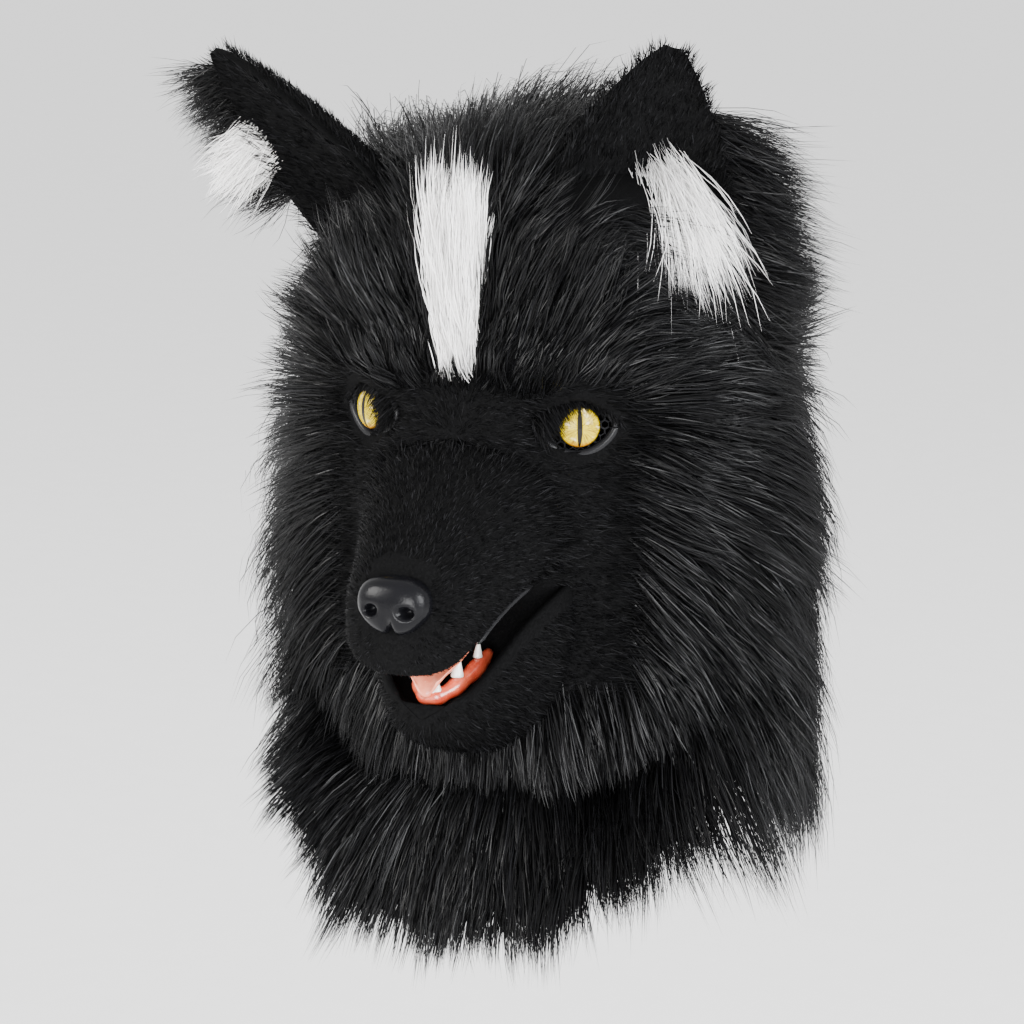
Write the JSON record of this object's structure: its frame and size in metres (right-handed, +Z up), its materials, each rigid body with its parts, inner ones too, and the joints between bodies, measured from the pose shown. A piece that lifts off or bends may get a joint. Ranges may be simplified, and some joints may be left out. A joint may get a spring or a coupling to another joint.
{
  "type": "plush fox hood",
  "caption": "Full-head black plush fox mask with open jaw, domed yellow eyes, cupped ears, long fur and a neck skirt.",
  "frame": {"origin": "inside of the crown, where the hood sits on the wearer's head", "axes": "+Z up, the face looks along -Y, +X is the wearer's left"},
  "size_m": [0.3317, 0.3032, 0.4175],
  "materials": {
    "black_fur": "long pile, slightly glossy strands",
    "short_pile": "short matt pile",
    "white_fur": "long pile",
    "nose_vinyl": "semi-gloss, finely grained",
    "lid_vinyl": "semi-gloss",
    "mesh_cloth": "open black mesh",
    "eye_resin": "glossy, yellow iris with a black slit",
    "gum_resin": "wet gloss",
    "tongue_rubber": "satin",
    "tooth_resin": "gloss"
  },
  "bodies": {
    "root": {"hood_shell": "black_fur", "neck_skirt": "black_fur", "muzzle": "short_pile", "lower_jaw": "short_pile", "nose_pad": "nose_vinyl", "gums": "gum_resin", "incisors": "tooth_resin", "tongue": "tongue_rubber", "forehead_blaze": "white_fur", "crown_fur": "black_fur", "forehead_fur": "black_fur", "back_fur": "black_fur", "throat_fur": "black_fur", "bib_fur": "black_fur", "neck_fur_back": "black_fur", "eye_mesh_left": "mesh_cloth", "eye_left": "eye_resin", "eye_rim_left": "lid_vinyl", "lip_edge_left": "lid_vinyl", "canine_left": "tooth_resin", "premolar_left": "tooth_resin", "ear_left": "short_pile", "ear_tuft_left": "white_fur", "ear_fringe_left": "black_fur", "cheek_fur_left": "black_fur", "neck_fur_left": "black_fur", "eye_mesh_right": "mesh_cloth", "eye_right": "eye_resin", "eye_rim_right": "lid_vinyl", "lip_edge_right": "lid_vinyl", "canine_right": "tooth_resin", "premolar_right": "tooth_resin", "ear_right": "short_pile", "ear_tuft_right": "white_fur", "ear_fringe_right": "black_fur", "cheek_fur_right": "black_fur", "neck_fur_right": "black_fur"}
  },
  "joints": []
}
